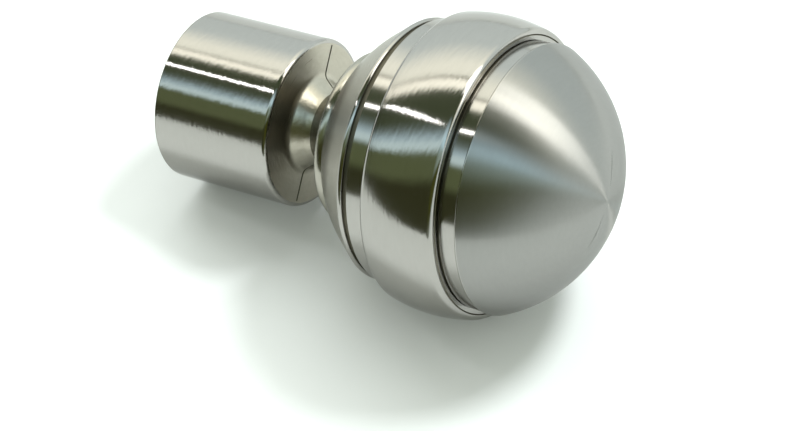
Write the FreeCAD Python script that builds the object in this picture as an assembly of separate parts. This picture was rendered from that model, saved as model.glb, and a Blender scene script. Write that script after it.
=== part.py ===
"""Ball finial for a round curtain pole: a turned casting with a blind socket, and its grub screw.

The frame has +X along the pole towards the tip of the ball and +Z up as the pole hangs. The origin is
the centre of the socket's floor, where the end of the pole stops. Lengths are millimetres and angles
are degrees.
"""

import FreeCAD, Part
import math
import os

# Pole and socket
POLE_DIAMETER = 28.0
POLE_CLEARANCE = 0.5
SOCKET_DEPTH = 22.0
SOCKET_LEAD_IN = 0.6

# Collar round the socket
COLLAR_WALL = 3.25
COLLAR_FLOOR = 5.4
MOUTH_ROUND = 0.25
SHOULDER_ROUND = 0.85

# Waisted neck between the shoulder and the back of the ball
NECK_LENGTH = 11.6
NECK_WAIST_RADIUS = 7.0
NECK_FLARE = 2.8
NECK_CONE_ANGLE = 38.0
NECK_CONE_ARC = 4.0
NECK_COVE = 6.0

# Ball, with a bead of round section at its back
BALL_RADIUS = 30.0
BEAD_RING_RADIUS = 16.3
BEAD_RADIUS = 1.4
BEAD_PROUD = 0.4

# Raised band round the middle of the ball, between two lower lands, placed from the ball's centre
BAND_REAR = 7.8
BAND_FRONT = 8.45
BAND_PROUD = 0.4
BAND_LIP = 1.3
LAND_END = 12.15
LAND_STEP = 0.43
DOME_LIP = 0.3
RELIEF_WIDTH = 0.35
RELIEF_DEPTH = 0.3

# Quirk between the cup at the back of the ball and the rear land, and the straight flare of the cup to it
QUIRK_WIDTH = 1.35
QUIRK_DEPTH = 0.9
CUP_STRAIGHT = 6.0
CUP_LIP = 0.4

# Fine parting line of the casting, left on the shoulder and the neck
PARTING_WIDTH = 0.3
PARTING_DEPTH = 0.15
PARTING_ANGLE = 46.3
PARTING_MARGIN = 0.3

# Grub screw through the underside of the collar
SCREW_DIAMETER = 4.0
SCREW_CLEARANCE = 0.1
SCREW_FROM_MOUTH = 9.0
SCREW_RECESS = 0.1
SCREW_INSET = 0.15
SCREW_CHAMFER = 0.35
SCREW_KEY = 2.0
SCREW_KEY_DEPTH = 1.5
SCREW_CUP_RADIUS = 1.0
SCREW_CUP_DEPTH = 0.5

# Places along the axis and radii that follow from the sizes above
BORE_RADIUS = (POLE_DIAMETER + POLE_CLEARANCE) / 2
COLLAR_RADIUS = BORE_RADIUS + COLLAR_WALL
MOUTH_X = -SOCKET_DEPTH
SHOULDER_X = COLLAR_FLOOR
NECK_SLOPE = math.radians(NECK_CONE_ANGLE)
NECK_ROOT_RADIUS = NECK_WAIST_RADIUS + NECK_FLARE
CONE_END_RADIUS = NECK_WAIST_RADIUS + NECK_CONE_ARC * (1 - math.cos(NECK_SLOPE))
CONE_END_X = SHOULDER_X + (NECK_ROOT_RADIUS - CONE_END_RADIUS) / math.tan(NECK_SLOPE)
WAIST_X = CONE_END_X + NECK_CONE_ARC * math.sin(NECK_SLOPE)
BALL_BACK_X = SHOULDER_X + NECK_LENGTH
BEAD_X = BALL_BACK_X + BEAD_RADIUS - BEAD_PROUD
BEAD_ROOT_RADIUS = BEAD_RING_RADIUS - math.sqrt(BEAD_RADIUS**2 - (BEAD_RADIUS - BEAD_PROUD)**2)
BALL_X = BEAD_X + math.sqrt(BALL_RADIUS**2 - BEAD_RING_RADIUS**2)
TIP_X = BALL_X + BALL_RADIUS
BAND_RADIUS = BALL_RADIUS + BAND_PROUD
LAND_RADIUS = math.sqrt(BALL_RADIUS**2 - LAND_END**2) - LAND_STEP
CUP_END = LAND_END + QUIRK_WIDTH
SCREW_X = MOUTH_X + SCREW_FROM_MOUTH
SCREW_LENGTH = COLLAR_WALL - SCREW_RECESS - SCREW_INSET

HEXAGON = 6
SAME_POINT = 1e-6
QUARTER = math.pi / 2
TO_TIP = 0.0
TO_POLE = math.pi


def point(x, r):
    """A point of the half profile: x along the axis, r out from it."""
    return FreeCAD.Vector(x, 0, r)


def line(start, end):
    """A straight edge, or nothing where the two points fall together."""
    if start.distanceToPoint(end) < SAME_POINT:
        return []
    return [Part.LineSegment(start, end).toShape()]


def lines(points):
    """Straight edges from each point to the next."""
    edges = []
    for start, end in zip(points, points[1:]):
        edges += line(start, end)
    return edges


def arc(centre, radius, start_angle, end_angle):
    """An arc of the half profile, with angles in radians from the +X direction towards the outside."""
    angles = (start_angle, (start_angle + end_angle) / 2, end_angle)
    through = [centre + point(radius * math.cos(angle), radius * math.sin(angle)) for angle in angles]
    return [Part.Arc(*through).toShape()]


def rounded_edge(sphere_radius, wall, radius, wall_angle):
    """The round between a zone of the ball and a flat wall across the axis, placed from the ball's centre.

    It gives the round's centre, the angle where the ball's surface turns into it, and its foot on the wall.
    """
    offset = wall - radius * math.cos(wall_angle)
    height = math.sqrt((sphere_radius - radius)**2 - offset**2)
    return point(BALL_X + offset, height), math.atan2(height, offset), point(BALL_X + wall, height)


def collar_edges():
    """The socket and the collar, from the middle of the socket's floor to the root of the neck."""
    mouth_centre = point(MOUTH_X + MOUTH_ROUND, COLLAR_RADIUS - MOUTH_ROUND)
    shoulder_centre = point(SHOULDER_X - SHOULDER_ROUND, COLLAR_RADIUS - SHOULDER_ROUND)
    edges = lines([
        point(0, 0),
        point(0, BORE_RADIUS),
        point(MOUTH_X + SOCKET_LEAD_IN, BORE_RADIUS),
        point(MOUTH_X, BORE_RADIUS + SOCKET_LEAD_IN),
        point(MOUTH_X, COLLAR_RADIUS - MOUTH_ROUND),
    ])
    edges += arc(mouth_centre, MOUTH_ROUND, TO_POLE, QUARTER)
    edges += line(
        point(MOUTH_X + MOUTH_ROUND, COLLAR_RADIUS),
        point(SHOULDER_X - SHOULDER_ROUND, COLLAR_RADIUS),
    )
    edges += arc(shoulder_centre, SHOULDER_ROUND, QUARTER, TO_TIP)
    edges += line(point(SHOULDER_X, COLLAR_RADIUS - SHOULDER_ROUND), point(SHOULDER_X, NECK_ROOT_RADIUS))
    return edges


def neck_edges():
    """The neck from the shoulder to the back of the ball: a cone, an arc into the waist and a cove."""
    cove = min(NECK_COVE, BALL_BACK_X - WAIST_X, BEAD_ROOT_RADIUS - NECK_WAIST_RADIUS)
    cone_centre = point(WAIST_X, NECK_WAIST_RADIUS + NECK_CONE_ARC)
    cove_centre = point(BALL_BACK_X - cove, NECK_WAIST_RADIUS + cove)
    edges = line(point(SHOULDER_X, NECK_ROOT_RADIUS), point(CONE_END_X, CONE_END_RADIUS))
    edges += arc(cone_centre, NECK_CONE_ARC, -QUARTER - NECK_SLOPE, -QUARTER)
    edges += line(point(WAIST_X, NECK_WAIST_RADIUS), point(BALL_BACK_X - cove, NECK_WAIST_RADIUS))
    edges += arc(cove_centre, cove, -QUARTER, TO_TIP)
    edges += line(point(BALL_BACK_X, NECK_WAIST_RADIUS + cove), point(BALL_BACK_X, BEAD_ROOT_RADIUS))
    return edges


def cup_edges():
    """The bead and the cup in front of it, which leaves the ball on a tangent and ends in a rounded lip."""
    bead_centre = point(BEAD_X, BEAD_RING_RADIUS)
    bead_start = TO_POLE + math.acos((BEAD_RADIUS - BEAD_PROUD) / BEAD_RADIUS)
    bead_on_ball = TO_POLE - math.asin(BEAD_RING_RADIUS / BALL_RADIUS)
    cup_start = bead_on_ball - 2 * math.asin(BEAD_RADIUS / (2 * BALL_RADIUS))
    meeting = point(BALL_X + BALL_RADIUS * math.cos(cup_start), BALL_RADIUS * math.sin(cup_start))
    toward = meeting - bead_centre
    corner_angle = math.acos(-CUP_END / math.hypot(BALL_RADIUS, CUP_STRAIGHT))
    straight_start = corner_angle + math.atan(CUP_STRAIGHT / BALL_RADIUS)
    along = point(math.sin(straight_start), -math.cos(straight_start))
    tangent = point(BALL_X + BALL_RADIUS * math.cos(straight_start), BALL_RADIUS * math.sin(straight_start))
    corner = tangent + along * CUP_STRAIGHT
    lip_reach = CUP_LIP * math.tan(straight_start / 2)
    lip_foot = corner - point(0, lip_reach)
    edges = arc(bead_centre, BEAD_RADIUS, bead_start, math.atan2(toward.z, toward.x))
    edges += arc(point(BALL_X, 0), BALL_RADIUS, cup_start, straight_start)
    edges += line(tangent, corner - along * lip_reach)
    edges += arc(lip_foot - point(CUP_LIP, 0), CUP_LIP, straight_start, TO_TIP)
    edges += line(lip_foot, point(lip_foot.x, LAND_RADIUS - QUIRK_DEPTH))
    return edges


def band_edges():
    """The quirk, the rear land, the raised band with its rounded edges, and the front land."""
    rear_lip, rear_start, rear_foot = rounded_edge(BAND_RADIUS, -BAND_REAR, BAND_LIP, TO_POLE)
    front_lip, front_start, front_foot = rounded_edge(BAND_RADIUS, BAND_FRONT, BAND_LIP, TO_TIP)
    edges = lines([
        point(BALL_X - CUP_END, LAND_RADIUS - QUIRK_DEPTH),
        point(BALL_X - LAND_END, LAND_RADIUS - QUIRK_DEPTH),
        point(BALL_X - LAND_END, LAND_RADIUS),
        point(BALL_X - BAND_REAR - RELIEF_WIDTH, LAND_RADIUS),
        point(BALL_X - BAND_REAR - RELIEF_WIDTH, LAND_RADIUS - RELIEF_DEPTH),
        point(BALL_X - BAND_REAR, LAND_RADIUS - RELIEF_DEPTH),
        rear_foot,
    ])
    edges += arc(rear_lip, BAND_LIP, TO_POLE, rear_start)
    edges += arc(point(BALL_X, 0), BAND_RADIUS, rear_start, front_start)
    edges += arc(front_lip, BAND_LIP, front_start, TO_TIP)
    edges += lines([
        front_foot,
        point(BALL_X + BAND_FRONT, LAND_RADIUS - RELIEF_DEPTH),
        point(BALL_X + BAND_FRONT + RELIEF_WIDTH, LAND_RADIUS - RELIEF_DEPTH),
        point(BALL_X + BAND_FRONT + RELIEF_WIDTH, LAND_RADIUS),
        point(BALL_X + LAND_END, LAND_RADIUS),
    ])
    return edges


def dome_edges():
    """The dome from the front land to the tip, with a small round at its edge."""
    lip_centre, lip_start, lip_foot = rounded_edge(BALL_RADIUS, LAND_END, DOME_LIP, TO_POLE)
    edges = line(point(BALL_X + LAND_END, LAND_RADIUS), lip_foot)
    edges += arc(lip_centre, DOME_LIP, TO_POLE, lip_start)
    edges += arc(point(BALL_X, 0), BALL_RADIUS, lip_start, TO_TIP)
    return edges


def parting_grooves():
    """Two thin slabs on opposite sides, along the shoulder and the neck's cone, that cut the fine line."""
    rim_radius = COLLAR_RADIUS - SHOULDER_ROUND - PARTING_MARGIN
    across = PARTING_DEPTH * math.sin(NECK_SLOPE)
    inward = PARTING_DEPTH * math.cos(NECK_SLOPE)
    corners = [
        point(SHOULDER_X - PARTING_DEPTH, rim_radius),
        point(SHOULDER_X + PARTING_DEPTH, rim_radius),
        point(SHOULDER_X + PARTING_DEPTH, NECK_ROOT_RADIUS + PARTING_DEPTH),
        point(CONE_END_X + across, CONE_END_RADIUS + inward),
        point(CONE_END_X - across, CONE_END_RADIUS - inward),
        point(SHOULDER_X - PARTING_DEPTH, NECK_ROOT_RADIUS - PARTING_DEPTH),
    ]
    face = Part.Face(Part.makePolygon(corners + corners[:1]))
    face.translate(FreeCAD.Vector(0, -PARTING_WIDTH / 2, 0))
    slabs = []
    for turn in (PARTING_ANGLE - 90, PARTING_ANGLE + 90):
        slab = face.extrude(FreeCAD.Vector(0, PARTING_WIDTH, 0))
        slab.rotate(FreeCAD.Vector(0, 0, 0), FreeCAD.Vector(1, 0, 0), turn)
        slabs.append(slab)
    return slabs


def finial_body():
    """The casting: its half profile turned about the axis, less the tapped hole and the parting line."""
    edges = collar_edges() + neck_edges() + cup_edges() + band_edges() + dome_edges()
    edges += line(point(TIP_X, 0), point(0, 0))
    body = Part.Face(Part.Wire(edges)).revolve(FreeCAD.Vector(0, 0, 0), FreeCAD.Vector(1, 0, 0), 360)
    hole_radius = (SCREW_DIAMETER + SCREW_CLEARANCE) / 2
    down = FreeCAD.Vector(0, 0, -1)
    hole = Part.makeCylinder(hole_radius, COLLAR_RADIUS, FreeCAD.Vector(SCREW_X, 0, 0), down)
    return body.cut([hole] + parting_grooves())


def grub_screw():
    """The set screw under the collar's surface: chamfered, with a hexagon socket and a cup point."""
    down = FreeCAD.Vector(0, 0, -1)
    up = FreeCAD.Vector(0, 0, 1)
    outer_end = FreeCAD.Vector(SCREW_X, 0, SCREW_RECESS - COLLAR_RADIUS)
    inner_end = outer_end + up * SCREW_LENGTH
    shank = Part.makeCylinder(SCREW_DIAMETER / 2, SCREW_LENGTH, outer_end, up)
    rims = [edge for edge in shank.Edges if edge.isClosed()]
    cup = Part.makeCone(SCREW_CUP_RADIUS, 0, SCREW_CUP_DEPTH, inner_end, down)
    corner_radius = SCREW_KEY / 2 / math.cos(math.pi / HEXAGON)
    corners = []
    for step in range(HEXAGON + 1):
        angle = 2 * math.pi * step / HEXAGON
        corners.append(outer_end + FreeCAD.Vector(math.cos(angle), math.sin(angle), 0) * corner_radius)
    socket = Part.Face(Part.makePolygon(corners)).extrude(up * SCREW_KEY_DEPTH)
    return shank.makeChamfer(SCREW_CHAMFER, rims).cut([cup, socket])


os.makedirs("parts", exist_ok=True)
for name, shape in (("finial_body", finial_body()), ("grub_screw", grub_screw())):
    shape.exportStep(f"parts/{name}.step")
    print(name, "valid", shape.isValid(), "solids", len(shape.Solids), "volume", round(shape.Volume, 1))
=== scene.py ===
import math

import bpy
import numpy as np
from mathutils import Matrix, Vector


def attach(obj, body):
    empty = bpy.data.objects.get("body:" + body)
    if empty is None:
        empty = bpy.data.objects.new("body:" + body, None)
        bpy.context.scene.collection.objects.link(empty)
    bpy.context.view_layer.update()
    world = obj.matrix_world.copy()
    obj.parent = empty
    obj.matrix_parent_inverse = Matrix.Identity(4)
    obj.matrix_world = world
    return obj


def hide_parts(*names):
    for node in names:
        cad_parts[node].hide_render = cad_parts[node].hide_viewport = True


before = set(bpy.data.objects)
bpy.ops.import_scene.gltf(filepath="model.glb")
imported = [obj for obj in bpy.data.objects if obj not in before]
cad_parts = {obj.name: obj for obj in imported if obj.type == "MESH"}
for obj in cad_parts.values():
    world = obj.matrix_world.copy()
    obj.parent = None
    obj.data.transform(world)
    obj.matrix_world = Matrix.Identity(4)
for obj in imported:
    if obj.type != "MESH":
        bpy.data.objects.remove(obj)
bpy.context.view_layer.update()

# Finial body
# One aluminium casting, turned on a lathe and brushed round its axis, then plated in satin nickel.
# The blind socket in the collar slides over the end of the pole, and the ball is the show end.
# Sizes are in millimetres, along the axis from the socket's floor and out from the axis.
MM = 0.001
BORE_RADIUS = 14.25
LEAD_IN = 0.6
COLLAR_RADIUS = 17.5
MOUTH_X = -22.0
MOUTH_ROUND = 0.25
SHOULDER_X = 5.4
SHOULDER_ROUND = 0.85
NECK_ROOT_RADIUS = 9.8
NECK_ROOT_FILLET = 2.0
NECK_WAIST_RADIUS = 7.0
NECK_SLOPE = math.radians(38)
NECK_CONE_ARC = 4.0
# The last part of the arc into the neck's waist, this many degrees, is darkened with painted shade.
NECK_SHADE_TURN = math.radians(17)
NECK_COVE = 6.0
BALL_BACK_X = 17.0
BALL_RADIUS = 30.0
BEAD_RING_RADIUS = 16.3
BEAD_RADIUS = 1.4
BEAD_PROUD = 0.4
CUP_STRAIGHT = 6.0
CUP_LIP = 0.6
QUIRK_WIDTH = 1.35
QUIRK_DEPTH = 0.9
LAND_END = 12.15
LAND_STEP = 0.43
RELIEF_WIDTH = 0.35
RELIEF_DEPTH = 0.3
BAND_REAR = 7.8
BAND_FRONT = 8.45
BAND_PROUD = 0.4
BAND_LIP = 1.3
LIP_CREASE_WIDTH = 0.3
LIP_CREASE_DEPTH = 0.15
DOME_LIP = 0.3
PARTING_ANGLES = np.radians([46.3, 226.3])
PARTING_HALF_WIDTH = 0.25
PARTING_FLOOR_SHARE = 0.6
PARTING_DEPTH = 0.15
PARTING_TOP = 16.3
PARTING_MARGIN = 0.1
SCREW_X = -13.0
SCREW_ANGLE = math.radians(270)
SCREW_HOLE_RADIUS = 2.05
PATCH_HALF_LENGTH = 4.0
PATCH_HALF_COLUMNS = 9.5
PATCH_ROWS = 8
PATCH_RINGS = 5
COLUMN_COUNT = 256
MAP_LENGTH = 100.0
NEAR = 1e-6
TINY = 1e-12
QUARTER = math.pi / 2
FULL = 2 * math.pi

CONE_END_RADIUS = NECK_WAIST_RADIUS + NECK_CONE_ARC * (1 - math.cos(NECK_SLOPE))
CONE_END_X = SHOULDER_X + (NECK_ROOT_RADIUS - CONE_END_RADIUS) / math.tan(NECK_SLOPE)
WAIST_X = CONE_END_X + NECK_CONE_ARC * math.sin(NECK_SLOPE)
BEAD_X = BALL_BACK_X + BEAD_RADIUS - BEAD_PROUD
BEAD_ROOT_RADIUS = BEAD_RING_RADIUS - math.sqrt(BEAD_RADIUS**2 - (BEAD_RADIUS - BEAD_PROUD)**2)
BALL_X = BEAD_X + math.sqrt(BALL_RADIUS**2 - BEAD_RING_RADIUS**2)
BAND_RADIUS = BALL_RADIUS + BAND_PROUD
LAND_RADIUS = math.sqrt(BALL_RADIUS**2 - LAND_END**2) - LAND_STEP
CUP_END = LAND_END + QUIRK_WIDTH

# The last finish is a near-black nickel that paints shade into grooves, creases, the mouth's round and the
# neck's waist.
BRUSHED, TURNED, SATIN, POLISHED, CAST_AND_SHADE, PAINTED_SHADE = range(6)


def straight(finish, start, end, steps=1):
    """Points at equal steps from start to end, with the normal a quarter turn left of the way they go."""
    share = np.linspace(0, 1, steps + 1)[:, None]
    points = np.asarray(start) * (1 - share) + np.asarray(end) * share
    way = np.asarray(end) - np.asarray(start)
    normal = np.array([-way[1], way[0]]) / np.hypot(*way)
    return finish, points, np.tile(normal, (steps + 1, 1))


def arc(finish, centre, radius, start, end, steps):
    """Points on a circle at equal angles, with normals from the centre where the angle falls, else to it."""
    angle = np.linspace(start, end, steps + 1)
    spoke = np.stack([np.cos(angle), np.sin(angle)], axis=1)
    outward = 1 if end < start else -1
    return finish, np.asarray(centre) + radius * spoke, outward * spoke


def lip_of(sphere_radius, wall, radius, side):
    """The centre, angle and foot of a round that touches a zone of the ball and a wall across the axis."""
    offset = wall - side * radius
    height = math.sqrt((sphere_radius - radius)**2 - offset**2)
    return (BALL_X + offset, height), math.atan2(height, offset), (BALL_X + wall, height)


def on_ball(angle):
    """The point of the ball at that angle from the direction of its tip."""
    return BALL_X + BALL_RADIUS * math.cos(angle), BALL_RADIUS * math.sin(angle)


def half_profile():
    """The turned outline from the middle of the socket's floor, round its mouth and on to the ball's tip.

    Each stretch has its finish, its shape and, where it has more than one, its count of steps.
    """
    screw_rear = SCREW_X - PATCH_HALF_LENGTH
    screw_front = SCREW_X + PATCH_HALF_LENGTH
    bore_end = MOUTH_X + LEAD_IN
    wall_start = MOUTH_X + MOUTH_ROUND
    wall_end = SHOULDER_X - SHOULDER_ROUND
    root_turn = QUARTER - NECK_SLOPE
    root_reach = NECK_ROOT_FILLET * math.tan(root_turn / 2)
    root_top = NECK_ROOT_RADIUS + root_reach
    root_centre = (SHOULDER_X + NECK_ROOT_FILLET, root_top)
    cone_start = (
        SHOULDER_X + root_reach * math.cos(NECK_SLOPE),
        NECK_ROOT_RADIUS - root_reach * math.sin(NECK_SLOPE),
    )
    waist_centre = (WAIST_X, NECK_WAIST_RADIUS + NECK_CONE_ARC)
    cove_centre = (BALL_BACK_X - NECK_COVE, NECK_WAIST_RADIUS + NECK_COVE)
    bead_start = math.pi + math.acos((BEAD_RADIUS - BEAD_PROUD) / BEAD_RADIUS)
    bead_on_ball = math.pi - math.asin(BEAD_RING_RADIUS / BALL_RADIUS)
    cup_start = bead_on_ball - 2 * math.asin(BEAD_RADIUS / (2 * BALL_RADIUS))
    meeting = on_ball(cup_start)
    bead_end = math.atan2(meeting[1] - BEAD_RING_RADIUS, meeting[0] - BEAD_X)
    corner_angle = math.acos(-CUP_END / math.hypot(BALL_RADIUS, CUP_STRAIGHT))
    cup_turn = corner_angle + math.atan(CUP_STRAIGHT / BALL_RADIUS)
    tangent = np.array(on_ball(cup_turn))
    along = np.array([math.sin(cup_turn), -math.cos(cup_turn)])
    cup_corner = tangent + along * CUP_STRAIGHT
    lip_reach = CUP_LIP * math.tan(cup_turn / 2)
    lip_foot = cup_corner - np.array([0, lip_reach])
    quirk_radius = LAND_RADIUS - QUIRK_DEPTH
    relief_radius = LAND_RADIUS - RELIEF_DEPTH
    rear_relief_x = BALL_X - BAND_REAR - RELIEF_WIDTH
    front_relief_x = BALL_X + BAND_FRONT + RELIEF_WIDTH
    rear_centre, rear_angle, rear_foot = lip_of(BAND_RADIUS, -BAND_REAR, BAND_LIP, -1)
    front_centre, front_angle, front_foot = lip_of(BAND_RADIUS, BAND_FRONT, BAND_LIP, 1)
    crease_floor = (front_foot[0] - LIP_CREASE_DEPTH, front_foot[1] - LIP_CREASE_WIDTH / 2)
    crease_end = (front_foot[0], front_foot[1] - LIP_CREASE_WIDTH)
    dome_centre, dome_angle, dome_foot = lip_of(BALL_RADIUS, LAND_END, DOME_LIP, -1)
    # The stretches in the near-black finish carry painted shade: the mouth's round, the neck's waist and
    # cove, and the floors of the quirk, reliefs and lip crease.
    return [
        straight(TURNED, (0, 0), (0, BORE_RADIUS), 6),
        straight(TURNED, (0, BORE_RADIUS), (screw_front, BORE_RADIUS), 3),
        straight(TURNED, (screw_front, BORE_RADIUS), (screw_rear, BORE_RADIUS), PATCH_ROWS),
        straight(TURNED, (screw_rear, BORE_RADIUS), (bore_end, BORE_RADIUS), 2),
        straight(TURNED, (bore_end, BORE_RADIUS), (MOUTH_X, BORE_RADIUS + LEAD_IN), 2),
        straight(TURNED, (MOUTH_X, BORE_RADIUS + LEAD_IN), (MOUTH_X, COLLAR_RADIUS - MOUTH_ROUND), 4),
        arc(PAINTED_SHADE, (wall_start, COLLAR_RADIUS - MOUTH_ROUND), MOUTH_ROUND, math.pi, QUARTER, 6),
        straight(BRUSHED, (wall_start, COLLAR_RADIUS), (screw_rear, COLLAR_RADIUS), 3),
        straight(BRUSHED, (screw_rear, COLLAR_RADIUS), (screw_front, COLLAR_RADIUS), PATCH_ROWS),
        straight(BRUSHED, (screw_front, COLLAR_RADIUS), (wall_end, COLLAR_RADIUS), 8),
        arc(BRUSHED, (wall_end, COLLAR_RADIUS - SHOULDER_ROUND), SHOULDER_ROUND, QUARTER, 0, 10),
        straight(CAST_AND_SHADE, (SHOULDER_X, COLLAR_RADIUS - SHOULDER_ROUND), (SHOULDER_X, PARTING_TOP), 2),
        straight(CAST_AND_SHADE, (SHOULDER_X, PARTING_TOP), (SHOULDER_X, root_top), 8),
        arc(CAST_AND_SHADE, root_centre, NECK_ROOT_FILLET, math.pi, math.pi + root_turn, 6),
        straight(CAST_AND_SHADE, cone_start, (CONE_END_X, CONE_END_RADIUS), 6),
        arc(CAST_AND_SHADE, waist_centre, NECK_CONE_ARC, -QUARTER - NECK_SLOPE, -QUARTER - NECK_SHADE_TURN, 6),
        arc(PAINTED_SHADE, waist_centre, NECK_CONE_ARC, -QUARTER - NECK_SHADE_TURN, -QUARTER, 4),
        straight(PAINTED_SHADE, (WAIST_X, NECK_WAIST_RADIUS), (cove_centre[0], NECK_WAIST_RADIUS)),
        arc(PAINTED_SHADE, cove_centre, NECK_COVE, -QUARTER, 0, 16),
        straight(PAINTED_SHADE, (BALL_BACK_X, NECK_WAIST_RADIUS + NECK_COVE), (BALL_BACK_X, BEAD_ROOT_RADIUS), 2),
        arc(TURNED, (BEAD_X, BEAD_RING_RADIUS), BEAD_RADIUS, bead_start, bead_end, 18),
        arc(TURNED, (BALL_X, 0), BALL_RADIUS, cup_start, cup_turn, 24),
        straight(TURNED, tangent, cup_corner - along * lip_reach, 4),
        arc(POLISHED, lip_foot - np.array([CUP_LIP, 0]), CUP_LIP, cup_turn, 0, 8),
        straight(POLISHED, lip_foot, (lip_foot[0], quirk_radius), 2),
        straight(PAINTED_SHADE, (lip_foot[0], quirk_radius), (BALL_X - LAND_END, quirk_radius), 2),
        straight(POLISHED, (BALL_X - LAND_END, quirk_radius), (BALL_X - LAND_END, LAND_RADIUS), 2),
        straight(POLISHED, (BALL_X - LAND_END, LAND_RADIUS), (rear_relief_x, LAND_RADIUS), 4),
        straight(POLISHED, (rear_relief_x, LAND_RADIUS), (rear_relief_x, relief_radius)),
        straight(PAINTED_SHADE, (rear_relief_x, relief_radius), (BALL_X - BAND_REAR, relief_radius)),
        straight(POLISHED, (BALL_X - BAND_REAR, relief_radius), rear_foot, 2),
        arc(POLISHED, rear_centre, BAND_LIP, math.pi, rear_angle, 10),
        arc(BRUSHED, (BALL_X, 0), BAND_RADIUS, rear_angle, front_angle, 24),
        arc(POLISHED, front_centre, BAND_LIP, front_angle, 0, 10),
        straight(PAINTED_SHADE, front_foot, crease_floor),
        straight(PAINTED_SHADE, crease_floor, crease_end),
        straight(POLISHED, crease_end, (BALL_X + BAND_FRONT, relief_radius), 2),
        straight(PAINTED_SHADE, (BALL_X + BAND_FRONT, relief_radius), (front_relief_x, relief_radius)),
        straight(POLISHED, (front_relief_x, relief_radius), (front_relief_x, LAND_RADIUS)),
        straight(POLISHED, (front_relief_x, LAND_RADIUS), (BALL_X + LAND_END, LAND_RADIUS), 4),
        straight(SATIN, (BALL_X + LAND_END, LAND_RADIUS), dome_foot),
        arc(POLISHED, dome_centre, DOME_LIP, math.pi, dome_angle, 6),
        arc(SATIN, (BALL_X, 0), BALL_RADIUS, dome_angle, 0, 64),
    ]


def around_axis(pairs, angle):
    """Each pair of a place along the axis and a reach out from it, turned about the axis by that angle."""
    along, out = pairs[..., 0], pairs[..., 1]
    return np.stack(np.broadcast_arrays(along, out * np.cos(angle), out * np.sin(angle)), axis=-1)


def cells(grid):
    """The four corners of each cell between two rows and two columns, the last column beside the first."""
    across = np.roll(grid, -1, axis=1)
    return np.stack([grid[:-1], across[:-1], across[1:], grid[1:]], axis=2)


def body_columns():
    """The angle of each column, and its place across a parting line as a share of half the line's width.

    The columns are evenly spaced, but at each parting line four stand in place of the nearest one.
    """
    even = np.arange(COLUMN_COUNT) * FULL / COLUMN_COUNT
    apart = np.abs(even[:, None] - PARTING_ANGLES).min(axis=1)
    even = even[apart > math.pi / COLUMN_COUNT]
    sides = np.array([-1.0, -PARTING_FLOOR_SHARE, PARTING_FLOOR_SHARE, 1.0])
    base = np.concatenate([even, np.repeat(PARTING_ANGLES, len(sides))])
    side = np.concatenate([np.zeros(len(even)), np.tile(sides, len(PARTING_ANGLES))])
    order = np.lexsort((side, base))
    return base[order], side[order]


def screw_patch(wall_radius, patch, across, grid, number, start):
    """A patch of the wall round the screw, as rings from its square edge in to the hole's circle.

    Each ring is the edge times one less its share plus the circle times its share, let down on the wall.
    It gives the places and numbers of the edge and the rings, and the numbers round the hole in order.
    """
    edge_row = np.concatenate([
        np.full(len(across), patch[0]),
        patch[1:],
        np.full(len(across) - 1, patch[-1]),
        patch[-2:0:-1],
    ])
    edge_column = np.concatenate([
        across,
        np.full(len(patch) - 1, across[-1]),
        across[-2::-1],
        np.full(len(patch) - 2, across[0]),
    ])
    edge = grid[edge_row, edge_column]
    bearing = np.arctan2(edge[:, 1], edge[:, 0] - SCREW_X)
    circle = [SCREW_X, 0] + SCREW_HOLE_RADIUS * np.stack([np.cos(bearing), np.sin(bearing)], axis=1)
    share = np.linspace(0, 1, PATCH_RINGS + 1)[1:, None, None]
    spread = edge[:, :2] * (1 - share) + circle * share
    down = -np.sqrt(wall_radius**2 - spread[..., 1]**2)
    rings = np.concatenate([spread, down[..., None]], axis=-1)
    ring_number = start + np.arange(down.size).reshape(down.shape)
    places = np.concatenate([edge[None], rings])
    numbers = np.concatenate([number[edge_row, edge_column][None], ring_number])
    return places, numbers, numbers[-1][np.argsort(bearing)]


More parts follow.
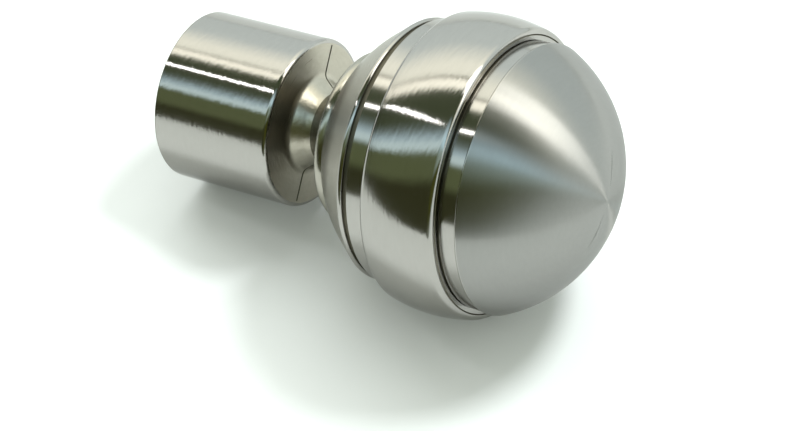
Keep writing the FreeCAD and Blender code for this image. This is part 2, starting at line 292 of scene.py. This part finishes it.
def turned_body():
    """The outline carried once round the axis as a grid of rows and columns, with its poles closed.

    A parting line's columns stand a set width apart, and sink along the normal on the shoulder and cone.
    Corners take the outline's own normals, and the flat face's normal in the sunk line.
    """
    finish, points, normals = zip(*half_profile())
    rows = np.concatenate([points[0]] + [p[1:] for p in points[1:]])
    strip_finish = np.concatenate([np.full(len(p) - 1, f) for f, p in zip(finish, points)])
    strip_start = np.concatenate([n[:-1] for n in normals])
    strip_end = np.concatenate([n[1:] for n in normals])
    travelled = np.concatenate([[0], np.cumsum(np.hypot(*np.diff(rows, axis=0).T))])

    base, side = body_columns()
    columns = len(base)
    reach = np.maximum(rows[:, 1], NECK_WAIST_RADIUS)
    angle = base + side * np.arcsin(PARTING_HALF_WIDTH / reach)[:, None]
    row_normal = np.concatenate([strip_start[:1], strip_end[:-1] + strip_start[1:], strip_end[-1:]])
    row_normal /= np.maximum(np.hypot(*row_normal.T), TINY)[:, None]
    in_line = (rows[:, 0] > SHOULDER_X - NEAR) & (rows[:, 0] < CONE_END_X - PARTING_MARGIN)
    in_line &= rows[:, 1] < PARTING_TOP - PARTING_MARGIN
    sunk = in_line[:, None] & (np.abs(side) == PARTING_FLOOR_SHARE)
    pairs = rows[:, None] - PARTING_DEPTH * sunk[..., None] * row_normal[:, None]
    grid = around_axis(pairs, angle)

    last = len(rows) - 1
    number = np.zeros(grid.shape[:2], int)
    number[1:last] = 1 + np.arange((last - 1) * columns).reshape(last - 1, columns)
    number[last] = 1 + (last - 1) * columns
    vertices = np.concatenate([grid[0, :1], grid[1:last].reshape(-1, 3), grid[last, :1]])
    along = np.tile(travelled[:, None], (1, columns))
    brush = np.stack([along, np.cos(angle), np.sin(angle)], axis=-1)
    brush = np.concatenate([[[0, 0, 0]], brush[1:last].reshape(-1, 3), [[travelled[-1], 0, 0]]])

    corner = cells(number)
    corner_v = cells(angle / FULL)
    corner_v[:, -1, 1:3] += 1
    corner_uv = np.stack([cells(along) / MAP_LENGTH, corner_v], axis=-1)
    strip_normal = np.stack([strip_start, strip_start, strip_end, strip_end], axis=1)
    corner_normal = around_axis(strip_normal[:, None], cells(angle))
    place = cells(grid)
    flat = np.cross(place[:, :, 2] - place[:, :, 0], place[:, :, 3] - place[:, :, 1])
    flat /= np.maximum(np.linalg.norm(flat, axis=-1), TINY)[..., None]
    steep = cells(sunk).any(axis=2)
    corner_normal = np.where(steep[..., None, None], flat[:, :, None], corner_normal)
    # The sunk floor of each parting line takes the near-black finish, which is painted shade.
    kind = np.where(steep, PAINTED_SHADE, strip_finish[:, None])

    kept = np.ones(corner.shape[:2], bool)
    kept[0] = False
    kept[-1] = False
    across = np.flatnonzero(np.abs(base - SCREW_ANGLE) < PATCH_HALF_COLUMNS * FULL / COLUMN_COUNT)
    beside_screw = np.abs(rows[:, 0] - SCREW_X) < PATCH_HALF_LENGTH + NEAR
    extra = []
    rims = []
    for wall_radius, facing, wall_finish in ((COLLAR_RADIUS, 1, BRUSHED), (BORE_RADIUS, -1, TURNED)):
        patch = np.flatnonzero(beside_screw & (np.abs(rows[:, 1] - wall_radius) < NEAR))
        kept[patch[0]:patch[-1], across[0]:across[-1]] = False
        places, numbers, rim = screw_patch(wall_radius, patch, across, grid, number, len(vertices))
        patch_angle = np.arctan2(places[..., 2], places[..., 1])
        patch_along = np.abs(places[..., 0] - rows[patch[0], 0]) + travelled[patch[0]]
        patch_brush = np.stack([patch_along, np.cos(patch_angle), np.sin(patch_angle)], axis=-1)
        patch_uv = np.stack([cells(patch_along) / MAP_LENGTH, cells(patch_angle) / FULL + 1], axis=-1)
        patch_normal = around_axis(np.array([0, facing]), cells(patch_angle))
        vertices = np.concatenate([vertices, places[1:].reshape(-1, 3)])
        brush = np.concatenate([brush, patch_brush[1:].reshape(-1, 3)])
        extra.append((
            cells(numbers).reshape(-1, 4),
            patch_uv.reshape(-1, 4, 2),
            patch_normal.reshape(-1, 4, 3),
            wall_finish,
        ))
        rims.append(rim)
    outer, inner = rims
    hole = np.stack([outer, inner, np.roll(inner, -1), np.roll(outer, -1)], axis=-1)
    hole_place = vertices[hole]
    bearing = np.arctan2(hole_place[..., 1], hole_place[..., 0] - SCREW_X)
    hole_uv = np.stack([hole_place[..., 2] / MAP_LENGTH, bearing / FULL], axis=-1)
    hole_normal = -np.stack([np.cos(bearing), np.sin(bearing), np.zeros_like(bearing)], axis=-1)
    extra.append((hole, hole_uv, hole_normal, TURNED))

    quads = np.concatenate([corner[kept]] + [e[0] for e in extra])
    quad_uv = np.concatenate([corner_uv[kept]] + [e[1] for e in extra])
    quad_normal = np.concatenate([corner_normal[kept]] + [e[2] for e in extra])
    quad_kind = np.concatenate([kind[kept]] + [np.full(len(e[0]), e[3]) for e in extra])
    floor_corners = [0, 2, 3]
    tip_corners = [0, 1, 2]
    fans = np.concatenate([corner[0][:, floor_corners], corner[-1][:, tip_corners]])
    fan_uv = np.concatenate([corner_uv[0][:, floor_corners], corner_uv[-1][:, tip_corners]])
    fan_normal = np.concatenate([corner_normal[0][:, floor_corners], corner_normal[-1][:, tip_corners]])
    fan_kind = np.concatenate([kind[0], kind[-1]])
    return {
        "vertices": vertices * MM,
        "faces": quads.tolist() + fans.tolist(),
        "uv": np.concatenate([quad_uv.reshape(-1, 2), fan_uv.reshape(-1, 2)]),
        "normals": np.concatenate([quad_normal.reshape(-1, 3), fan_normal.reshape(-1, 3)]),
        "kinds": np.concatenate([quad_kind, fan_kind]),
        "brush": brush,
    }


def new_piece(name, vertices, faces):
    """An object of that name at the origin, with its place in its mesh."""
    mesh = bpy.data.meshes.new(name)
    mesh.from_pydata(np.asarray(vertices).tolist(), [], faces)
    mesh.polygons.foreach_set("use_smooth", np.ones(len(mesh.polygons), bool))
    piece = bpy.data.objects.new(name, mesh)
    bpy.context.scene.collection.objects.link(piece)
    return piece


EDGE_TINT = (0.7, 0.7, 0.7, 1)
PLATE_TINTS = ((0.351, 0.34, 0.319), (0.386, 0.374, 0.353))
TURNED_TINTS = ((0.344, 0.329, 0.281), (0.395, 0.378, 0.332))
SATIN_TINTS = ((0.278, 0.276, 0.264), (0.305, 0.3025, 0.2895))
# The shoulder and neck tints are partly a duller cast finish and partly painted shade, darker and browner
# where the neck lies between collar and ball.
CAST_AND_SHADE_TINTS = ((0.38, 0.355, 0.295), (0.46, 0.432, 0.365))
# These near-black tints are painted shade for grooves, creases and hollows.
PAINTED_SHADE_TINTS = ((0.0924, 0.084, 0.063), (0.185, 0.172, 0.134))
LINES_ROUND = 2.2
LINE_DETAIL = 3.0
WAVES_ALONG = 1.4
WAVES_ROUND = 9.0
WAVE_DETAIL = 4.0
LINE_LOW = 0.25
LINE_HIGH = 0.75
DULL_SPREAD = 0.1


def brushed_nickel(name, tints, roughness, anisotropy, line_pitch, line_depth, wave_depth):
    """Nickel plate over fine brush lines that run round the axis, on a wall left a little wavy by polishing.

    The height is a noise stretched round the turn times the depth of the lines, plus a broader noise times
    the depth of the waves. The lines also dull the plate, and the waves tint it between two greys.
    """
    material = bpy.data.materials.new(name)
    material.use_nodes = True
    nodes = material.node_tree.nodes
    links = material.node_tree.links
    shader = nodes["Principled BSDF"]
    shader.inputs["Metallic"].default_value = 1.0
    shader.inputs["Anisotropic"].default_value = anisotropy
    shader.inputs["Specular Tint"].default_value = EDGE_TINT
    brush = nodes.new("ShaderNodeAttribute")
    brush.attribute_name = "brush"
    line_scale = nodes.new("ShaderNodeVectorMath")
    line_scale.operation = "MULTIPLY"
    line_scale.inputs[1].default_value = (1 / line_pitch, LINES_ROUND, LINES_ROUND)
    lines = nodes.new("ShaderNodeTexNoise")
    lines.inputs["Scale"].default_value = 1.0
    lines.inputs["Detail"].default_value = LINE_DETAIL
    wave_scale = nodes.new("ShaderNodeVectorMath")
    wave_scale.operation = "MULTIPLY"
    wave_scale.inputs[1].default_value = (WAVES_ALONG, WAVES_ROUND, WAVES_ROUND)
    waves = nodes.new("ShaderNodeTexNoise")
    waves.inputs["Scale"].default_value = 1.0
    waves.inputs["Detail"].default_value = WAVE_DETAIL
    dull = nodes.new("ShaderNodeMapRange")
    dull.inputs["From Min"].default_value = LINE_LOW
    dull.inputs["From Max"].default_value = LINE_HIGH
    dull.inputs["To Min"].default_value = (1 - DULL_SPREAD) * roughness
    dull.inputs["To Max"].default_value = (1 + DULL_SPREAD) * roughness
    tint = nodes.new("ShaderNodeMix")
    tint.data_type = "RGBA"
    tint.inputs["A"].default_value = (*tints[0], 1)
    tint.inputs["B"].default_value = (*tints[1], 1)
    wave_height = nodes.new("ShaderNodeMath")
    wave_height.operation = "MULTIPLY"
    wave_height.inputs[1].default_value = wave_depth
    height = nodes.new("ShaderNodeMath")
    height.operation = "MULTIPLY_ADD"
    height.inputs[1].default_value = line_depth
    bump = nodes.new("ShaderNodeBump")
    bump.inputs["Strength"].default_value = 1.0
    bump.inputs["Distance"].default_value = 1.0
    tangent = nodes.new("ShaderNodeTangent")
    tangent.direction_type = "UV_MAP"
    tangent.uv_map = "turning"
    links.new(brush.outputs["Vector"], line_scale.inputs[0])
    links.new(line_scale.outputs["Vector"], lines.inputs["Vector"])
    links.new(brush.outputs["Vector"], wave_scale.inputs[0])
    links.new(wave_scale.outputs["Vector"], waves.inputs["Vector"])
    links.new(lines.outputs["Fac"], dull.inputs["Value"])
    links.new(dull.outputs["Result"], shader.inputs["Roughness"])
    links.new(waves.outputs["Fac"], tint.inputs["Factor"])
    links.new(tint.outputs["Result"], shader.inputs["Base Color"])
    links.new(waves.outputs["Fac"], wave_height.inputs[0])
    links.new(lines.outputs["Fac"], height.inputs[0])
    links.new(wave_height.outputs["Value"], height.inputs[2])
    links.new(height.outputs["Value"], bump.inputs["Height"])
    links.new(bump.outputs["Normal"], shader.inputs["Normal"])
    links.new(tangent.outputs["Tangent"], shader.inputs["Tangent"])
    return material


turned = turned_body()
finial = new_piece("finial_body_turned", turned["vertices"], turned["faces"])
uv_map = finial.data.uv_layers.new(name="turning")
uv_map.data.foreach_set("uv", turned["uv"].ravel())
brush_lines = finial.data.attributes.new("brush", "FLOAT_VECTOR", "POINT")
brush_lines.data.foreach_set("vector", turned["brush"].ravel())
finishes = (
    brushed_nickel(
        "brushed_nickel", PLATE_TINTS, roughness=0.12, anisotropy=0.98,
        line_pitch=0.06, line_depth=4e-6, wave_depth=30e-6,
    ),
    brushed_nickel(
        "turned_nickel", TURNED_TINTS, roughness=0.22, anisotropy=0.97,
        line_pitch=0.08, line_depth=9e-6, wave_depth=25e-6,
    ),
    brushed_nickel(
        "satin_dome_nickel", SATIN_TINTS, roughness=0.31, anisotropy=1.0,
        line_pitch=0.08, line_depth=1.5e-6, wave_depth=5e-6,
    ),
    brushed_nickel(
        "polished_nickel", PLATE_TINTS, roughness=0.13, anisotropy=0.9,
        line_pitch=0.10, line_depth=1.5e-6, wave_depth=6e-6,
    ),
    # Duller cast finish on the shoulder and neck, with painted shade in its darker brown tints.
    brushed_nickel(
        "cast_neck_and_shade_nickel", CAST_AND_SHADE_TINTS, roughness=0.30, anisotropy=0.3,
        line_pitch=0.15, line_depth=2e-6, wave_depth=40e-6,
    ),
    # A near-black nickel that paints shade into grooves, creases and the neck's waist.
    brushed_nickel(
        "painted_shade_nickel", PAINTED_SHADE_TINTS, roughness=0.5, anisotropy=0.3,
        line_pitch=0.15, line_depth=4e-6, wave_depth=6e-6,
    ),
)
for finish in finishes:
    finial.data.materials.append(finish)
finial.data.polygons.foreach_set("material_index", turned["kinds"].astype(np.int32))
finial.data.normals_split_custom_set(turned["normals"].tolist())
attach(finial, "root")
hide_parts("finial_body")

# Grub screw
# A hardened steel set screw with a hexagon socket and a cup point, run into the hole under the collar.
# Its thread is rolled, and it stops just short of the outside and of the pole's socket.
SCREW_RADIUS = 2.0
SCREW_LENGTH = 3.0
SCREW_FACE_Z = -17.4
SCREW_CHAMFER = 0.35
SCREW_CREASE = math.radians(35)
SCREW_COLUMNS = 96
THREAD_PITCH = 0.7
THREAD_DEPTH = 0.32
THREAD_ROWS = 60
KEY_ACROSS = 2.0
KEY_DEPTH = 1.5
KEY_POINT = 0.3
KEY_RIM_SHARE = 0.1
KEY_RIM_DEPTH = 0.06
HEXAGON_FLAT = math.pi / 3
CUP_RADIUS = 1.0
CUP_DEPTH = 0.5
OXIDE_GREY = (0.20, 0.20, 0.21, 1)
WORN_STEEL = (0.42, 0.42, 0.43, 1)
WEAR_SCALE = 900.0
WEAR_DETAIL = 4.0
PIT_SCALE = 5000.0
PIT_DETAIL = 2.0
PIT_DEPTH = 1e-5
PIT_STRENGTH = 0.5
OXIDE_SMOOTH = 0.28
OXIDE_ROUGH = 0.5


def screw_surface():
    """A closed grid from the middle of the hexagon socket out over the thread to the middle of the cup.

    The reach of the thread is a triangle wave of the depth along the screw less the share of a turn, held
    under the chamfers at both ends. The socket's reach is half its width over the cosine from each flat.
    """
    turn = np.linspace(0, FULL, SCREW_COLUMNS, endpoint=False)
    to_flat = (turn + HEXAGON_FLAT / 2) % HEXAGON_FLAT - HEXAGON_FLAT / 2
    hexagon = KEY_ACROSS / 2 / np.cos(to_flat)
    depth = np.linspace(0, SCREW_LENGTH, THREAD_ROWS)[:, None]
    wave = (depth / THREAD_PITCH - turn / FULL) % 1
    thread = SCREW_RADIUS - THREAD_DEPTH * np.abs(2 * wave - 1)
    end_radius = SCREW_RADIUS - SCREW_CHAMFER
    ends = end_radius + np.minimum(depth, SCREW_LENGTH - depth)
    barrel = np.minimum(thread, ends)
    rim = (1 - KEY_RIM_SHARE) * hexagon + KEY_RIM_SHARE * end_radius
    level = np.ones(SCREW_COLUMNS)
    reach = np.concatenate([
        [hexagon / 2, hexagon, hexagon, rim],
        barrel,
        [CUP_RADIUS * level, CUP_RADIUS / 2 * level],
    ])
    inward = np.concatenate([
        [(KEY_DEPTH + KEY_POINT / 2) * level, KEY_DEPTH * level, KEY_RIM_DEPTH * level, 0 * level],
        np.tile(depth, (1, SCREW_COLUMNS)),
        [SCREW_LENGTH * level, (SCREW_LENGTH - CUP_DEPTH / 2) * level],
    ])
    grid = np.stack([
        SCREW_X + reach * np.cos(turn),
        reach * np.sin(turn),
        SCREW_FACE_Z + inward,
    ], axis=-1)
    number = np.arange(reach.size).reshape(reach.shape)
    socket_middle = [[SCREW_X, 0, SCREW_FACE_Z + KEY_DEPTH + KEY_POINT]]
    cup_middle = [[SCREW_X, 0, SCREW_FACE_Z + SCREW_LENGTH - CUP_DEPTH]]
    vertices = np.concatenate([grid.reshape(-1, 3), socket_middle, cup_middle])
    after = np.roll(number, -1, axis=1)
    middle = np.full(SCREW_COLUMNS, reach.size)
    socket_fan = np.stack([middle, after[0], number[0]], axis=-1)
    cup_fan = np.stack([number[-1], after[-1], middle + 1], axis=-1)
    return vertices * MM, cells(number).reshape(-1, 4).tolist() + socket_fan.tolist() + cup_fan.tolist()


def black_steel(name):
    """Hardened steel with a thin dark oxide, worn brighter in broad patches and faintly pitted."""
    material = bpy.data.materials.new(name)
    material.use_nodes = True
    nodes = material.node_tree.nodes
    links = material.node_tree.links
    shader = nodes["Principled BSDF"]
    shader.inputs["Metallic"].default_value = 1.0
    place = nodes.new("ShaderNodeTexCoord")
    wear = nodes.new("ShaderNodeTexNoise")
    wear.inputs["Scale"].default_value = WEAR_SCALE
    wear.inputs["Detail"].default_value = WEAR_DETAIL
    pits = nodes.new("ShaderNodeTexNoise")
    pits.inputs["Scale"].default_value = PIT_SCALE
    pits.inputs["Detail"].default_value = PIT_DETAIL
    tint = nodes.new("ShaderNodeMix")
    tint.data_type = "RGBA"
    tint.inputs["A"].default_value = OXIDE_GREY
    tint.inputs["B"].default_value = WORN_STEEL
    dull = nodes.new("ShaderNodeMapRange")
    dull.inputs["To Min"].default_value = OXIDE_SMOOTH
    dull.inputs["To Max"].default_value = OXIDE_ROUGH
    bump = nodes.new("ShaderNodeBump")
    bump.inputs["Strength"].default_value = PIT_STRENGTH
    bump.inputs["Distance"].default_value = PIT_DEPTH
    links.new(place.outputs["Object"], wear.inputs["Vector"])
    links.new(place.outputs["Object"], pits.inputs["Vector"])
    links.new(wear.outputs["Fac"], tint.inputs["Factor"])
    links.new(tint.outputs["Result"], shader.inputs["Base Color"])
    links.new(wear.outputs["Fac"], dull.inputs["Value"])
    links.new(dull.outputs["Result"], shader.inputs["Roughness"])
    links.new(pits.outputs["Fac"], bump.inputs["Height"])
    links.new(bump.outputs["Normal"], shader.inputs["Normal"])
    return material


screw = new_piece("grub_screw_threaded", *screw_surface())
screw.data.set_sharp_from_angle(angle=SCREW_CREASE)
screw.data.materials.append(black_steel("oxide_steel"))
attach(screw, "root")
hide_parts("grub_screw")

# Table
# A plain white table top. The finial lies on it, touching at the band and at the edge of the collar's
# mouth, so the table's plane leans to the finial's axis.
EDGE_X = BALL_X - (MOUTH_X + MOUTH_ROUND)
EDGE_RADIUS = COLLAR_RADIUS - MOUTH_ROUND
EDGE_DISTANCE = math.hypot(EDGE_X, EDGE_RADIUS)
LEAN = math.asin((BAND_RADIUS - MOUTH_ROUND) / EDGE_DISTANCE) - math.atan2(EDGE_RADIUS, EDGE_X)
TABLE_HALF_LENGTH = 1.2
TABLE_FRONT = 0.24
TABLE_BACK = 1.2
TABLE_WHITE = (0.82, 0.85, 0.86, 1)
TABLE_ROUGHNESS = 0.7
TABLE_GLOSS = 0.2
table_normal = Vector((math.sin(LEAN), 0, math.cos(LEAN)))
table_along = Vector((math.cos(LEAN), 0, -math.sin(LEAN)))
table_across = Vector((0, 1, 0))
ball_centre = Vector((BALL_X * MM, 0, 0))
under_ball = ball_centre - table_normal * BAND_RADIUS * MM
corners = [
    under_ball + table_along * TABLE_HALF_LENGTH * side + table_across * reach
    for side, reach in ((-1, -TABLE_FRONT), (1, -TABLE_FRONT), (1, TABLE_BACK), (-1, TABLE_BACK))
]
table = new_piece("table_top", [tuple(c) for c in corners], [(0, 1, 2, 3)])
table_paint = bpy.data.materials.new("white_table")
table_paint.use_nodes = True
table_shader = table_paint.node_tree.nodes["Principled BSDF"]
table_shader.inputs["Base Color"].default_value = TABLE_WHITE
table_shader.inputs["Roughness"].default_value = TABLE_ROUGHNESS
table_shader.inputs["Specular IOR Level"].default_value = TABLE_GLOSS
table.data.materials.append(table_paint)

# Light
# A soft key light from behind on the right and a broad fill from behind on the left light the table.
# The nickel mirrors a plain room: pale walls, a warm ceiling with a beam and a tube, a cool window in
# front, and a lit strip at the right. Bands are in degrees about the finial's axis, from level behind.
ROOM_STRENGTH = 2.8
ROOM_SLANT = 15.0
BANDS_START = -90
FULL_DEGREES = 360
PALE_WALL = (1.24, 1.38, 1.36)
WARM_CEILING = (2.12, 2.14, 1.88)
BEAM = (0.2, 0.2, 0.14)
CEILING_EDGE = (2.75, 2.72, 2.38)
DIM_CEILING = (0.115, 0.142, 0.078)
PALE_HAZE = (0.26, 0.33, 0.30)
COOL_WINDOW = (0.80, 1.06, 1.18)
WINDOW_CORE = (1.15, 1.45, 1.5)
DIM_ROOM = (0.2, 0.24, 0.115)
DARK_ROOM = (0.068, 0.073, 0.032)
SIDE_CORE = (1.1, 1.55, 1.75)
PALE_SIDE = (0.55, 0.7, 0.62)
DARK_SIDE = (0.11, 0.12, 0.02)
CEILING_BANDS = (
    (BANDS_START, PALE_WALL),
    (40, PALE_WALL),
    (64, WARM_CEILING),
    (75.5, WARM_CEILING),
    (77, BEAM),
    (78, BEAM),
    (79.5, CEILING_EDGE),
    (86, CEILING_EDGE),
    (90, DIM_CEILING),
    (114, DIM_CEILING),
)
ROOM_BANDS = CEILING_BANDS + (
    (120, PALE_HAZE),
    (127, COOL_WINDOW),
    (131, WINDOW_CORE),
    (134, WINDOW_CORE),
    (139, DIM_ROOM),
    (154, DIM_ROOM),
    (162, DARK_ROOM),
    (195, DARK_ROOM),
    (230, PALE_WALL),
)
SIDE_BANDS = CEILING_BANDS + (
    (116, PALE_HAZE),
    (126, COOL_WINDOW),
    (133, SIDE_CORE),
    (139, SIDE_CORE),
    (147, PALE_SIDE),
    (155, PALE_SIDE),
    (166, DARK_SIDE),
    (207, DARK_SIDE),
    (225, PALE_WALL),
)
SIDE_STARTS = 0.1
SIDE_WHOLE = 0.7
FAR_END_DARKEST = -0.97
FAR_END_STARTS = -0.75
FAR_END_SHARE = 0.12
BACKDROP_WHITE = (0.92, 0.92, 0.91, 1)
MATT_LIGHT = (0.72, 0.755, 0.66, 1)
KEY_COLOUR = (0.97, 1.0, 1.0)
STRIP_COLOUR = (1.0, 0.99, 0.96)
TUBE_COLOUR = (1.0, 1.0, 1.0)
world = bpy.data.worlds.new("room")
bpy.context.scene.world = world
world.use_nodes = True
room_nodes = world.node_tree.nodes
room_links = world.node_tree.links
room = room_nodes["Background"]
toward = room_nodes.new("ShaderNodeTexCoord")
split = room_nodes.new("ShaderNodeSeparateXYZ")
height_angle = room_nodes.new("ShaderNodeMath")
height_angle.operation = "ARCTAN2"
share_of_turn = room_nodes.new("ShaderNodeMath")
share_of_turn.operation = "MULTIPLY_ADD"
share_of_turn.inputs[1].default_value = 1 / FULL
share_of_turn.inputs[2].default_value = (ROOM_SLANT / 2 - BANDS_START) / FULL_DEGREES
slant = room_nodes.new("ShaderNodeMath")
slant.operation = "MULTIPLY_ADD"
slant.inputs[1].default_value = ROOM_SLANT / FULL_DEGREES
within_turn = room_nodes.new("ShaderNodeMath")
within_turn.operation = "FRACT"


def colour_bands(stops):
    """A ramp of colours round the room, by share of a turn, each as its share of the room's strength."""
    ramp = room_nodes.new("ShaderNodeValToRGB")
    while len(ramp.color_ramp.elements) < len(stops):
        ramp.color_ramp.elements.new(0.5)
    for stop, (degrees, colour) in zip(ramp.color_ramp.elements, stops):
        stop.position = (degrees - BANDS_START) / FULL_DEGREES
        stop.color = (*(c / ROOM_STRENGTH for c in colour), 1)
    room_links.new(within_turn.outputs["Value"], ramp.inputs["Fac"])
    return ramp


bands = colour_bands(ROOM_BANDS)
side_bands = colour_bands(SIDE_BANDS)
far_end = room_nodes.new("ShaderNodeMapRange")
far_end.interpolation_type = "SMOOTHSTEP"
far_end.inputs["From Min"].default_value = FAR_END_DARKEST
far_end.inputs["From Max"].default_value = FAR_END_STARTS
far_end.inputs["To Min"].default_value = FAR_END_SHARE * ROOM_STRENGTH
far_end.inputs["To Max"].default_value = ROOM_STRENGTH
near_side = room_nodes.new("ShaderNodeMapRange")
near_side.inputs["From Min"].default_value = SIDE_STARTS
near_side.inputs["From Max"].default_value = SIDE_WHOLE
both_sides = room_nodes.new("ShaderNodeMix")
both_sides.data_type = "RGBA"
backdrop = room_nodes.new("ShaderNodeBackground")
backdrop.inputs["Color"].default_value = BACKDROP_WHITE
ambient = room_nodes.new("ShaderNodeBackground")
ambient.inputs["Color"].default_value = MATT_LIGHT
light_path = room_nodes.new("ShaderNodeLightPath")
on_matt = room_nodes.new("ShaderNodeMixShader")
seen_directly = room_nodes.new("ShaderNodeMixShader")
room_links.new(toward.outputs["Generated"], split.inputs["Vector"])
room_links.new(split.outputs["Z"], height_angle.inputs[0])
room_links.new(split.outputs["Y"], height_angle.inputs[1])
room_links.new(height_angle.outputs["Value"], share_of_turn.inputs[0])
room_links.new(split.outputs["X"], slant.inputs[0])
room_links.new(share_of_turn.outputs["Value"], slant.inputs[2])
room_links.new(slant.outputs["Value"], within_turn.inputs[0])
room_links.new(split.outputs["X"], far_end.inputs["Value"])
room_links.new(far_end.outputs["Result"], room.inputs["Strength"])
room_links.new(split.outputs["X"], near_side.inputs["Value"])
room_links.new(near_side.outputs["Result"], both_sides.inputs["Factor"])
room_links.new(bands.outputs["Color"], both_sides.inputs["A"])
room_links.new(side_bands.outputs["Color"], both_sides.inputs["B"])
room_links.new(both_sides.outputs["Result"], room.inputs["Color"])
room_links.new(light_path.outputs["Is Diffuse Ray"], on_matt.inputs["Fac"])
room_links.new(room.outputs["Background"], on_matt.inputs[1])
room_links.new(ambient.outputs["Background"], on_matt.inputs[2])
room_links.new(light_path.outputs["Is Camera Ray"], seen_directly.inputs["Fac"])
room_links.new(on_matt.outputs["Shader"], seen_directly.inputs[1])
room_links.new(backdrop.outputs["Background"], seen_directly.inputs[2])
room_links.new(seen_directly.outputs["Shader"], room_nodes["World Output"].inputs["Surface"])


def soft_light(name, way, distance, size, power, colour):
    """A round panel that faces the ball from that way and distance."""
    panel = bpy.data.lights.new(name, "AREA")
    panel.shape = "DISK"
    panel.size = size
    panel.energy = power
    panel.color = colour
    light = bpy.data.objects.new(name, panel)
    toward_light = Vector(way).normalized()
    light.location = ball_centre + toward_light * distance
    light.rotation_euler = toward_light.to_track_quat("Z", "Y").to_euler()
    bpy.context.scene.collection.objects.link(light)
    return light


def tube_light(name, near, far, width, power, colour):
    """A flat lit strip between two places given from the ball's centre, facing the ball."""
    near = Vector(near)
    far = Vector(far)
    middle = (near + far) / 2
    along = (far - near).normalized()
    across = middle.cross(along).normalized()
    strip = bpy.data.lights.new(name, "AREA")
    strip.shape = "RECTANGLE"
    strip.size = (far - near).length
    strip.size_y = width
    strip.energy = power
    strip.color = colour
    light = bpy.data.objects.new(name, strip)
    facing = Matrix((along, across, along.cross(across))).transposed().to_4x4()
    light.matrix_world = Matrix.Translation(ball_centre + middle) @ facing
    bpy.context.scene.collection.objects.link(light)
    return light


key = soft_light(
    "key_softbox", way=(0.395, 0.455, 0.80), distance=0.75, size=0.21, power=4.3, colour=KEY_COLOUR,
)
key.visible_glossy = False
fill = soft_light(
    "fill_panel", way=(-0.25, 0.35, 0.90), distance=1.0, size=1.0, power=5.1, colour=KEY_COLOUR,
)
fill.visible_glossy = False
sheen = tube_light(
    "side_strip", near=(0.23, 0.24, 0.94), far=(0.92, 0.41, 0.12),
    width=0.32, power=2.7, colour=STRIP_COLOUR,
)
sheen.visible_diffuse = False
tube_light(
    "ceiling_tube", near=(-0.12, -0.34, 0.92), far=(-0.74, -0.14, 0.65),
    width=0.035, power=0.65, colour=TUBE_COLOUR,
)

# Camera
# A long lens from in front and above, level with the table, looking down at the collar, neck and ball.
CAMERA_LENS = 125.15
CAMERA_SENSOR = 36.0
CAMERA_NEAREST = 0.01
CAMERA_PLACE = Vector((0.29757, -0.32615, 0.35852))
CAMERA_LOOK = Vector((-0.48294, 0.57120, -0.66371))
camera_data = bpy.data.cameras.new("camera")
camera_data.sensor_fit = "HORIZONTAL"
camera_data.sensor_width = CAMERA_SENSOR
camera_data.lens = CAMERA_LENS
camera_data.clip_start = CAMERA_NEAREST
camera = bpy.data.objects.new("camera", camera_data)
camera_right = CAMERA_LOOK.cross(table_normal).normalized()
camera_up = camera_right.cross(CAMERA_LOOK).normalized()
camera_turn = Matrix((camera_right, camera_up, -CAMERA_LOOK)).transposed().to_4x4()
camera.matrix_world = Matrix.Translation(CAMERA_PLACE) @ camera_turn
bpy.context.scene.collection.objects.link(camera)
bpy.context.scene.camera = camera
bpy.context.scene.view_settings.view_transform = "Standard"
